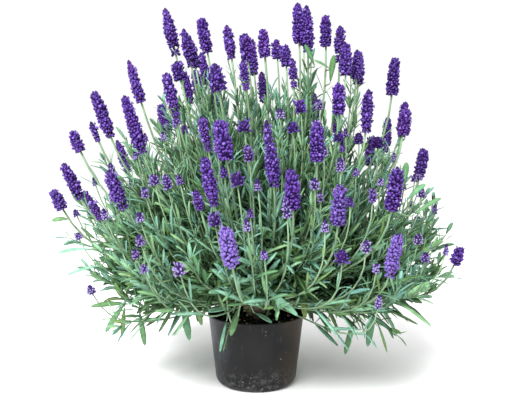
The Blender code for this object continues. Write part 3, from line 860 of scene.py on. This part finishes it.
def pot_wall(inset, top, steps):
    """The wall's line from the floor's edge round the bottom corner and up, moved inwards by inset."""
    slope = math.tan(POT_TAPER)
    foot = POT_RIM - 0.0009 - slope * (POT_HEIGHT - POT_CORNER * (1 - math.sin(POT_TAPER)))
    centre = foot - POT_CORNER * math.cos(POT_TAPER)
    turn = np.linspace(math.pi / 2, POT_TAPER, 9)
    reach = POT_CORNER - inset
    arc = np.stack([centre + reach * np.cos(turn), POT_CORNER - reach * np.sin(turn)], -1)
    height = np.linspace(arc[-1, 1], top, steps)[1:]
    side = np.stack([arc[-1, 0] + slope * (height - arc[-1, 1]), height], -1)
    return np.concatenate([arc, side])


def pot_sway(angle, height):
    """A soft wall is never quite round: two and three slow waves, growing with height."""
    grow = np.clip(height / POT_HEIGHT, 0, 1)
    return grow * (0.0005 * np.cos(2 * angle + 0.6) + 0.0003 * np.cos(3 * angle - 1.1)) - 0.0004 * grow


def rounded_post(out, turn, half_x, half_y, reach):
    """An upright cutter from -reach to reach with the section |x/a|⁴ + |y/b|⁴ = 1, moved out and turned."""
    angle = round_turns(20)
    c, s = np.cos(angle), np.sin(angle)
    power = (np.abs(c) ** 4 + np.abs(s) ** 4) ** -0.25
    along, over = out + half_x * c * power, half_y * s * power
    x = along * math.cos(turn) - over * math.sin(turn)
    y = along * math.sin(turn) + over * math.cos(turn)
    rings = np.stack([np.stack([x, y, 0 * x + z], -1) for z in (-reach, reach)])[None]
    foot, tip = (np.array([[out * math.cos(turn), out * math.sin(turn), z]]) for z in (-reach, reach))
    return skin(rings, foot, tip, np.zeros(3), np.zeros(3))


def build_pot(finish_used):
    """The cup with its lip, less the notches round its corner and the drain holes in its floor."""
    wall, inner = pot_wall(0.0, POT_HEIGHT - 0.0042, 16), pot_wall(POT_WALL, POT_HEIGHT - 0.001, 16)
    # The lip's roll: outwards from the rim and down from the top.
    roll = [(-0.0004, 0.0034), (0.0, 0.0028), (0.0001, 0.0012), (-0.0002, 0.0003), (-0.0008, 0.0)]
    lip = [(POT_RIM + out, POT_HEIGHT - low) for out, low in roll]
    lip.append((inner[-1, 0] + 0.0003, POT_HEIGHT - 0.0002))
    floor = wall[0, 0]
    low = [(floor * share, 0.0) for share in (0.0, 0.25, 0.5, 0.75)]
    high = [(floor * share, POT_WALL) for share in (0.75, 0.5, 0.25, 0.0)]
    profile = np.concatenate([low, wall, lip, inner[::-1], high])
    pot = put("pot_blank", mesh_of("pot_blank", lathe(profile, POT_SIDES, pot_sway)))
    posts = []
    for turn in FIRST_NOTCH + np.arange(NOTCHES) * 2 * math.pi / NOTCHES:
        posts.append(rounded_post(floor + 0.008, turn, 0.010, 0.008, 0.0042))
        posts.append(rounded_post(DRAIN_CIRCLE, turn + math.pi / NOTCHES, 0.004, 0.004, 0.003))
    cutter = put("pot_cutter", mesh_of("pot_cutter", *posts))
    cut = pot.modifiers.new("cut", "BOOLEAN")
    cut.operation, cut.solver, cut.object = "DIFFERENCE", "EXACT", cutter
    mesh = bpy.data.meshes.new_from_object(pot.evaluated_get(bpy.context.evaluated_depsgraph_get()))
    mesh.name = "nursery_pot_shell"
    for old in (pot, cutter):
        bpy.data.objects.remove(old)
    mesh.set_sharp_from_angle(angle=math.radians(40))
    add_piece("nursery_pot_shell", mesh, finish_used, "pot_plastic", "nursery_pot")


def peat_bumps(x, y):
    """The peat's coarse and middling lumps."""
    return 0.0016 * rumple(x, y, 0.016, 3) + 0.0011 * rumple(x, y, 0.007, 4)


def build_peat(finish_used):
    """Peat that sinks a little below the rim, rough on top, with crumbs and white perlite grains on it."""
    wall = pot_wall(POT_WALL + 0.0003, SOIL_TOP - PEAT_SINK, 8)
    edge = wall[-1, 0]
    top = [(edge * share, SOIL_TOP - PEAT_SINK * share) for share in np.linspace(0.98, 0.03, 34)]
    profile = [(0.0, wall[0, 1]), *wall, *top, (0.0, SOIL_TOP)]

    def lumps(x, y):
        """The bumps with a fine grain, no higher than MOST_LUMP and level at the edge and on the wall."""
        inside = np.clip((edge * 0.99 - np.hypot(x, y)) / 0.004, 0, 1)
        inside[: len(wall)] = 0.0
        return np.minimum(peat_bumps(x, y) + 0.0006 * rumple(x, y, 0.003, 5), MOST_LUMP) * inside

    rng = np.random.default_rng(11)
    n = CRUMBS
    reach, turn = np.sqrt(rng.uniform(0.02, 0.95, n)) * edge, rng.uniform(0, 2 * np.pi, n)
    size = rng.gamma(4.0, 0.00035, n) + 0.0004
    way = unit(rng.normal(0, 1, (n, 3)))
    x, y = reach * np.cos(turn), reach * np.sin(turn)
    height = SOIL_TOP - PEAT_SINK * reach / edge + np.minimum(peat_bumps(x, y), MOST_LUMP)
    root = np.stack([x, y, height], -1) - way * size[:, None]
    tone = np.zeros((n, 3))
    tone[:PERLITE_GRAINS, 0] = 1.0
    crumbs = budlets(root, way, size * 2, size * rng.uniform(0.7, 1.0, n), tone, 6)
    mesh = mesh_of("peat", lathe(profile, 144, None, lumps), crumbs)
    add_piece("peat", mesh, finish_used, "growing_medium", "growing_medium")


def build_crown(finish_used, limbs, azimuth):
    """The woody head and the old limbs that run out of it, gnarled by chance swellings of each ring."""
    rng = np.random.default_rng(12)
    # The head's outline: radius, and height above the soil, in millimetres.
    outline = np.array(
        [
            (0, -40), (5.5, -39), (7.5, -12), (8.8, 0), (10.5, 6), (15.5, 13), (17.8, 21), (17.2, 29),
            (12.5, 37), (5.5, 41), (0, 42),
        ]
    ) / 1000 + (0.0, SOIL_TOP)  # fmt: skip
    fine, steps = np.linspace(0, 1, 40), np.linspace(0, 1, len(outline))
    profile = np.stack([np.interp(fine, steps, values) for values in outline.T], -1)

    def knots(angle, height):
        """Three and seven lobes that twist up the head, slight below the soil."""
        swell = 0.0013 * np.sin(3 * angle + height * 160) + 0.0009 * np.sin(7 * angle - height * 240)
        return swell * np.clip((height - SOIL_TOP) / 0.01, 0.1, 1)

    rings, sides = 14, 8
    knobs = 1 + rng.normal(0, 0.09, (len(limbs), rings, sides))
    radii = np.linspace(0.0034, 0.0017, rings) * rng.uniform(0.75, 1.15, (len(limbs), 1))
    wood = tubes(limbs, azimuth, np.linspace(0.0, 0.30, rings), radii, sides, np.zeros(3), knobs=knobs)
    crown = mesh_of("crown_wood", lathe(profile, 48, knots), wood)
    add_piece("crown_wood", crown, finish_used, "bark", "woody_crown")


# ---------------------------------------------------------------- stalks and spikes


def node_points(name):
    """A CAD node's points."""
    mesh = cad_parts[name].data
    points = np.empty(len(mesh.vertices) * 3, np.float32)
    mesh.vertices.foreach_get("co", points)
    return points.reshape(-1, 3).astype(float)


def cad_stalks():
    """Each CAD stalk's cubic, and its spike's foot, axis and length.

    The stalk's foot is its point nearest the crown and its tip is the middle of the points nearest the
    spike; the spike's axis runs from there through its middle, and its length is its reach along it.
    """
    curves, feet, axes, lengths = [], [], [], []
    for stalk, spike in zip(STALKS, SPIKES):
        stem, head = node_points(stalk), node_points(spike)
        middle = (head.min(0) + head.max(0)) / 2
        off = np.linalg.norm(stem - middle, axis=1)
        tip = stem[off < off.min() + 0.0022].mean(0)
        axis = unit(head.mean(0) - tip)
        near = np.linalg.norm(stem - CROWN, axis=1)
        start = stem[near < near.min() + 0.001].mean(0)
        leaving = unit(start - CROWN)
        curves.append(hermite((start - leaving * 0.018)[None], leaving[None], tip[None], axis[None])[0])
        feet.append(tip)
        axes.append(axis)
        lengths.append(((head - tip) @ axis).max())
    return np.array(curves), np.array(feet), np.array(axes), np.array(lengths)


def azimuth_of(curve):
    """Where each cubic's end lies round the crown, in degrees."""
    return np.degrees(np.arctan2(curve[:, 3, 1], curve[:, 3, 0]))


def stalk_growth(azimuth, reach, height):
    """The flower stalk's cubic, as in the CAD: flatter at the crown than at its spike."""
    above = np.degrees(np.arctan2(height - CROWN[2], reach))
    return growth(azimuth, reach, height, above * 0.85, np.minimum(88.0, 62.0 + above * 0.3))


def all_stalks(rng):
    """The CAD's stalks, then the list's: their cubics, and each spike's foot, axis, length and width."""
    curve, foot, axis, length = cad_stalks()
    width = SPIKE_WIDTH * rng.uniform(0.88, 1.08, len(curve))
    more = np.array(MORE_SPIKES, float)
    grown = stalk_growth(more[:, 0], more[:, 1] / 1000, more[:, 2] / 1000)
    added = (grown[:, 3], unit(grown[:, 3] - grown[:, 2]), more[:, 3] / 1000, more[:, 4] / 1000)
    spikes = [np.concatenate(pair) for pair in zip((foot, axis, length, width), added)]
    return np.concatenate([curve, grown]), spikes


def small_heads(rng, count=60):
    """Small heads on thin stalks of their own: those of the list, then count others all over the foliage.

    Gives their stalks' cubics and azimuths, each head's foot, axis, length and width, and its tone, whose
    third number turns it towards a closed bud.
    """
    listed = np.array(SMALL_HEADS, float)
    turn = (np.arange(count) * HEAD_TURN + rng.normal(0, 6, count)) % 360 - 180
    least = np.sin(np.radians(skirt(turn) + 12))
    pitch = np.degrees(np.arcsin(least + (0.95 - least) * rng.uniform(0, 1, count)))
    reach = np.minimum(plant_reach(turn, pitch) * rng.uniform(0.84, 1.04, count), MOST_HEAD_REACH)
    reach = np.append(plant_reach(listed[:, 0], listed[:, 1]) * 0.93, reach)
    azimuth, pitch = np.append(listed[:, 0], turn), np.append(listed[:, 1], pitch)
    place = heading(azimuth, pitch) * reach[:, None]
    out, height = np.hypot(place[:, 0], place[:, 1]), place[:, 2] + CROWN[2]
    curve = growth(azimuth, out, height, pitch * 0.5, np.minimum(88, 70 + pitch * 0.3))
    axis = unit(curve[:, 3] - curve[:, 2])
    length = np.append(listed[:, 2] / 1000, rng.uniform(0.008, 0.013, count))
    width = np.append(listed[:, 3] / 1000, rng.uniform(0.008, 0.012, count))
    depth = rng.uniform(0.2, 0.9, len(azimuth))
    pale = np.append(listed[:, 4], rng.uniform(0.05, 0.7, count))
    return curve, azimuth, (curve[:, 3], axis, length, width), np.stack([depth, pale, -1.1 * pale], -1)


def build_flowers(stem_used, flower_used, leaf_used):
    """Every flower stalk with its spike and its leaves: the CAD's, then the list's, then the small heads'.
    Gives the cubics and azimuths of the first two."""
    rng = np.random.default_rng(21)
    curve, spikes = all_stalks(rng)
    foot, axis, length, width = spikes
    azimuth = azimuth_of(curve)
    n = len(curve)
    tone = np.zeros((n, 3))
    tone[:, 0] = rng.uniform(0.05, 0.50, n)
    tone[:, 1] = rng.uniform(0.0, 0.10, n)
    for number, share in PALE_SPIKES.items():
        tone[number - 1, 1] = share
    small = width < SMALL_WIDTH
    tone[small, 1] += 0.12

    added, front = np.arange(n) >= len(STALKS), foot[:, 1] < 0
    crops = {
        "flower_spikes": ~added,
        "flower_spikes_front": added & ~small & front,
        "flower_spikes_back": added & ~small & ~front,
    }
    for name, chosen in crops.items():
        rows = calyces(*(values[chosen] for values in spikes), rng, 11, MOST_ROWS, tone[chosen], 0.0019)
        hidden = SPIKES if name == "flower_spikes" else ()
        add_piece(name, mesh_of(name, rows), flower_used, "flower", *hidden)

    beads = [calyces(*(values[small] for values in spikes), rng, 9, MOST_ROWS, tone[small], 0.0014)]
    # Under some of the spikes stands a whorl apart.
    apart = np.where(rng.uniform(0, 1, n) < WHORLS_APART, -rng.uniform(0.0055, 0.0105, n), np.nan)
    apart = apart[:, None] + (0.0, 0.0014, 0.0028)
    beads.append(calyces(foot, axis, length, width * 0.74, rng, 7, 3, tone, 0.0018, apart))
    beads.append(cores(*spikes, tone))
    beads.append(florets(*spikes, rng, 7, tone))
    bright = tone[:, 1] > 0.3
    beads.append(florets(*(values[bright] for values in spikes), rng, 14, tone[bright]))
    budding, around, heads, bud_tone = small_heads(rng)
    beads.append(calyces(*heads, rng, 7, BUD_ROWS, bud_tone, 0.0013))
    beads.append(cores(*heads, bud_tone))
    add_piece("flower_whorls", mesh_of("flower_whorls", *beads), flower_used, "flower")

    shares, radii = np.linspace(0.0, 1.0, 13), np.linspace(0.0017, 0.0012, 13)
    m = len(budding)
    stem_tone = np.stack([rng.uniform(0.15, 1.0, n), np.full(n, 0.8), np.zeros(n)], -1)
    bud_stem = np.stack([rng.uniform(0.3, 1.0, m), np.full(m, 0.5), np.zeros(m)], -1)
    twigs = np.array(BENT_TWIGS, float) / 1000
    stems = [
        tubes(curve, azimuth, shares, radii, 8, stem_tone, 0.08),
        tubes(budding, around, shares, radii * 0.72, 6, bud_stem),
        tubes(twigs, azimuth_of(twigs), shares, radii * 0.7, 6, (1.0, 0.0, 0.0)),
    ]
    add_piece("flower_stalks", mesh_of("flower_stalks", *stems), stem_used, "stem", *STALKS)

    m += n
    at = np.linspace(0.24, 0.80, 6) + rng.uniform(-0.05, 0.05, (m, 6))
    leaf_tone = np.stack([rng.uniform(0.5, 1.0, m), rng.uniform(0.0, 0.15, m), rng.uniform(0, 1, m)], -1)
    pairs = leaf_pairs(
        np.concatenate([curve, budding]), np.concatenate([azimuth, around]), at, rng, 36 - 16 * at,
        0.040 - 0.014 * at, 0.0050 - 0.0012 * at, np.full(m, 0.10), leaf_tone, SLIM_BLADE, FLAT_EDGES,
    )  # fmt: skip
    add_piece("stalk_leaves", mesh_of("stalk_leaves", pairs), leaf_used, "leaf")
    return curve, azimuth


# ---------------------------------------------------------------- foliage


def bell(x, middle, width):
    """exp(-((x - middle) / width)²)."""
    return np.exp(-(((x - middle) / width) ** 2))


def plant_reach(azimuth, pitch):
    """How far the plant reaches from the crown: full above the level and drawn in below it."""
    full = np.interp(pitch, (-25, -12, 0, 20, 60, 90), (0.17, 0.216, 0.258, 0.282, 0.316, 0.334))
    return full * (1 + 0.03 * np.sin(np.radians(3 * azimuth + 40)))


def envelope(azimuth, pitch):
    """How far the foliage reaches: less than the plant, least of all in front, so that stalks stand clear."""
    drawn_in = 0.05 * bell(pitch, 34, 24) + 0.20 * bell(azimuth, -90, 66) * bell(pitch, 30, 32)
    return plant_reach(azimuth, pitch) * (1 - drawn_in)


def buried(points):
    """How far points lie under the foliage's surface, in metres."""
    off = points - CROWN
    reach = np.linalg.norm(off, axis=-1)
    azimuth = np.degrees(np.arctan2(off[..., 1], off[..., 0]))
    pitch = np.degrees(np.arcsin(np.clip(off[..., 2] / reach, -1, 1)))
    return envelope(azimuth, pitch) - reach


def skirt(azimuth):
    """The lowest pitch of foliage at each azimuth a, in degrees: 2 - 11 sin a, so 9 below the level at the
    back and 13 above it in front, raised by two bells before the pot and lowered by one at its right."""
    before_pot = 8 * bell(azimuth, -84, 46) + 7 * bell(azimuth, -64, 16)
    return 2 - 11 * np.sin(np.radians(azimuth)) + before_pot - 7 * bell(azimuth, -34, 18)


def shoot_leaves(
    curve, azimuth, low, tone, rng, blade, edges, nodes=11, scale=1.0, bare=0.28, over_rim=False
):
    """Leaf pairs on shoots, from the share bare to the tip, where the nodes close up. Leaves are longest two
    thirds of the way out, and low shoots carry broader ones that rise before they droop."""
    run = np.linspace(0, 1, nodes) ** 0.86
    share = bare + (1 - bare) * run
    size = np.interp(run, (0, 0.5, 0.8, 1.0), (0.74, 1.0, 0.94, 0.55))
    length = (0.036 + 0.007 * low)[:, None] * size
    width = (0.0047 + 0.0034 * low)[:, None] * np.sqrt(size)
    spread = np.interp(run, (0, 0.9, 1.0), (46, 28, 16)) + 8 * low[:, None]
    return leaf_pairs(
        curve, azimuth, share, rng, spread, length * scale, width * scale, 0.07 + 0.11 * low, tone,
        blade, edges, rise=0.06 + 0.30 * low, over_rim=over_rim,
    )  # fmt: skip


def heart_shoots(rng, count=34):
    """Upright shoots over the crown that close the middle of the plant: they stand on a spiral whose radius
    grows as the root of the count, and the outer ones lean out a little. Gives their cubics, azimuths and
    tones."""
    rank = (np.arange(count) + 0.5) / count
    azimuth = (np.arange(count) * GOLDEN_TURN) % 360 - 180
    reach = 0.010 + 0.082 * np.sqrt(rank)
    height = CROWN[2] + rng.uniform(0.175, 0.262, count)
    height = height - 0.03 * bell(azimuth, -90, 60) + 0.05 * bell(azimuth, 90, 80)
    curve = growth(azimuth, reach, height, 84 - 14 * rank, 84 - 6 * rank)
    curve[:, 1:3] += rng.normal(0, 0.006, (count, 2, 3))
    tone = np.stack([rng.uniform(0.75, 1.0, count), 0 * rank, rng.uniform(0.1, 0.8, count)], -1)
    return curve, azimuth, tone


def round_shoots(rng, count=350):
    """Shoots from the crown to the foliage's surface on all sides, from hanging ones to upright ones.

    Each is turned by the golden angle from the last, and the sines of their pitches are spread from the skirt
    to the top. Some reach past the surface, and low ones stop short of it. Gives their cubics, azimuths and
    pitches, how low each hangs from 0 to 1, how broad its leaves are from 0 to 1, and its tone.
    """
    azimuth = (np.arange(count) * GOLDEN_TURN + rng.normal(0, 5, count)) % 360 - 180
    rank = (np.arange(count) + rng.uniform(0, 1, count)) / count
    rng.shuffle(azimuth)
    least = np.sin(np.radians(skirt(azimuth)))
    pitch = np.degrees(np.arcsin(np.clip(least + (0.99 - least) * rank**0.86, -0.3, 0.995)))
    low, broad = np.clip((12 - pitch) / 20, 0, 1), np.clip((46 - pitch) / 50, 0, 1)
    proud = rng.uniform(0, 1, count) < 0.22
    ragged = np.where(proud, rng.uniform(0.96, 1.05, count), rng.uniform(0.74, 0.96, count))
    reach = envelope(azimuth, pitch) * (ragged - 0.14 * low * rng.uniform(0, 1, count))
    place = heading(azimuth, pitch) * reach[:, None]
    start = np.where(pitch > 0, pitch * 0.72 + 8, 14 + rng.uniform(-4, 8, count))
    hanging, rising = rng.uniform(-25, 35, count), pitch + (88 - pitch) * rng.uniform(0.15, 0.8, count)
    end = np.where(low > 0.5, hanging, rising)
    curve = growth(azimuth, np.hypot(place[:, 0], place[:, 1]), place[:, 2] + CROWN[2], start, end)
    curve[:, 1:3] += rng.normal(0, 0.007, (count, 2, 3))
    depth = np.clip(0.72 - 0.12 * low + rng.normal(0, 0.18, count), 0.1, 1.0)
    age = np.clip(rng.normal(0.02, 0.09, count) + 0.14 * low, 0, 0.5)
    chance = rng.uniform(0.1, 0.85, count) - 0.25 * broad
    return curve, azimuth, pitch, low, broad, np.stack([depth, age, chance], -1)


def lone_leaves():
    """The leaves of the list, bent down by LONE_SAG and turned to the front. Gives their skins, roots,
    directions and tones."""
    rows = np.array(LONE_LEAVES, float)
    root, tip = rows[:, :3] / 1000, rows[:, 3:6] / 1000
    size = np.linalg.norm(tip - root, axis=1)
    sag = DOWN * LONE_SAG + 0 * root
    leaving = unit((tip - root) / size[:, None] - sag)
    face = unit(np.cross(np.cross(leaving, (0.0, -0.8, 0.6)), leaving))
    tone = np.stack([rows[:, 8], rows[:, 7], np.full(len(rows), 0.5)], -1)
    fold = np.full(len(rows), 0.2)
    made = leaves(root, leaving, face, size, rows[:, 6] / 1000, sag, fold, BROAD_BLADE, ROLLED_EDGES, tone)
    return made, root, leaving, tone


def side_twigs(root, leaving, stems):
    """A short twig to each root, from the place on the stems that is nearest to it and not ahead of it: a
    place that lies a distance d further on than the root counts d more. It starts between the stem's way and
    its own."""
    place, tangent = (values.reshape(-1, 3) for values in on_curve(stems, np.linspace(0.3, 1, 24)))
    apart = place - root[:, None]
    ahead = np.clip((apart * leaving[:, None]).sum(-1), 0, None)
    near = (np.linalg.norm(apart, axis=-1) + ahead).argmin(1)
    start = place[near]
    return hermite(start, unit(tangent[near] + 2 * unit(root - start)), root, leaving)


def woody(tone):
    """The tone of a stem whose leaves have this tone."""
    return tone * (0.8, 0, 0) + (0, 1, 0)


def build_foliage(leaf_used, stem_used, stalks):
    """The leafy shoots on all sides, with tufts in their axils, those of the lists, the middle of the plant
    and the leaves that stand alone on their twigs, with all of their stems."""
    rng = np.random.default_rng(31)
    curve, azimuth, pitch, low, broad, tone = round_shoots(rng)
    upper = pitch >= SLIM_PITCH
    crops = {"middle_leaves": (~upper, BROAD_BLADE), "upper_leaves": (upper, SLIM_BLADE)}
    for name, (chosen, blade) in crops.items():
        shoots = [values[chosen] for values in (curve, azimuth, broad, tone)]
        grown = shoot_leaves(*shoots, rng, blade, FLAT_EDGES)
        add_piece(name, mesh_of(name, grown), leaf_used, "leaf")

    rows = np.array(LEAFY_SHOOTS + RIM_SHOOTS, float)
    listed = growth(rows[:, 0], rows[:, 1] / 1000, rows[:, 2] / 1000, rows[:, 3], rows[:, 4])
    hangs = np.where(rows[:, 3] < 30, 0.8, 0.1)
    m = len(rows)
    listed_tone = np.stack([rng.uniform(0.45, 0.9, m), rows[:, 5], rng.uniform(0.2, 0.7, m)], -1)
    leafy = shoot_leaves(
        listed, rows[:, 0], hangs, listed_tone, rng, BROAD_BLADE, ROLLED_EDGES, 8, rows[:, 6:7], 0.45, True
    )
    lone, lone_root, lone_way, lone_tone = lone_leaves()
    add_piece("lower_leaves", mesh_of("lower_leaves", leafy, lone), leaf_used, "leaf", *SHOOTS)

    at = np.linspace(0.36, 0.97, 9)
    every = np.ones((len(curve), len(at)))
    tufts = leaf_pairs(
        curve, azimuth, at, rng, 26.0 * every, 0.017 * every, 0.0026 * every, 0.05 + 0.1 * low,
        tone + (0.08, 0, 0), TUFT_BLADE, FLAT_EDGES, np.pi / 4, 0.3 * broad,
    )  # fmt: skip
    add_piece("axil_leaves", mesh_of("axil_leaves", tufts), leaf_used, "leaf")

    rng = np.random.default_rng(47)
    heart, heart_azimuth, heart_tone = heart_shoots(rng)
    slim = np.full(len(heart), 0.15)
    grown = shoot_leaves(heart, heart_azimuth, slim, heart_tone, rng, SLIM_BLADE, FLAT_EDGES, bare=0.42)
    add_piece("heart_leaves", mesh_of("heart_leaves", grown), leaf_used, "leaf")

    shoots = np.concatenate([curve, listed, heart])
    turns = np.concatenate([azimuth, rows[:, 0], heart_azimuth])
    wood = woody(np.concatenate([tone, listed_tone, heart_tone]))
    stems = tubes(shoots, turns, np.linspace(0, 1, 13), np.linspace(0.0019, 0.0008, 13), 6, wood)
    twig = side_twigs(lone_root, lone_way, np.concatenate([curve, listed, stalks]))
    twigs = tubes(
        twig, np.zeros(len(twig)), np.linspace(0, 1, 8), np.linspace(0.0011, 0.0007, 8), 6, woody(lone_tone)
    )
    add_piece("shoot_stems", mesh_of("shoot_stems", stems, twigs), stem_used, "stem")


# ---------------------------------------------------------------- floor, light, camera


def set_studio():
    """A wide pale floor under an even white sky, one broad soft lamp in front, and the camera."""
    scene = bpy.context.scene
    scene.view_settings.view_transform = "Standard"
    side = 30.0
    mesh = bpy.data.meshes.new("floor")
    corners = [(-side, -side, 0), (side, -side, 0), (side, side, 0), (-side, side, 0)]
    mesh.from_pydata(corners, [], [(0, 1, 2, 3)])
    paint = bpy.data.materials.new("pale_floor")
    paint.use_nodes = True
    shader = paint.node_tree.nodes["Principled BSDF"]
    shader.inputs["Base Color"].default_value = (0.97, 0.97, 0.97, 1.0)
    shader.inputs["Roughness"].default_value = 1.0
    mesh.materials.append(paint)
    put("floor", mesh)
    world = bpy.data.worlds.new("white_sky")
    world.use_nodes = True
    world.node_tree.nodes["Background"].inputs["Color"].default_value = (1.0, 1.0, 1.0, 1.0)
    world.node_tree.nodes["Background"].inputs["Strength"].default_value = 1.03
    scene.world = world
    lamp = bpy.data.lights.new("soft_box", "AREA")
    lamp.shape, lamp.size, lamp.size_y = "RECTANGLE", 1.5, 1.1
    lamp.energy = 218.0
    soft_box = put("soft_box", lamp)
    soft_box.location = (-0.75, -1.9, 2.1)
    soft_box.rotation_euler = (math.radians(43), 0.0, math.radians(-22))
    view = bpy.data.cameras.new("camera")
    view.lens, view.sensor_width = 48.5, 36.0
    view.clip_start, view.clip_end = 0.05, 100.0
    eye = put("camera", view)
    eye.location = (0.0, -0.95, 0.33)
    eye.rotation_euler = (math.radians(85.5), 0.0, 0.0)
    scene.camera = eye


set_studio()
leaf_coat, stem_coat, flower_coat = leaf_finish(), stem_finish(), flower_finish()
build_pot(pot_finish())
build_peat(peat_finish())
stalk_curves, stalk_azimuths = build_flowers(stem_coat, flower_coat, leaf_coat)
build_crown(bark_finish(), stalk_curves[::2], stalk_azimuths[::2])
build_foliage(leaf_coat, stem_coat, stalk_curves)
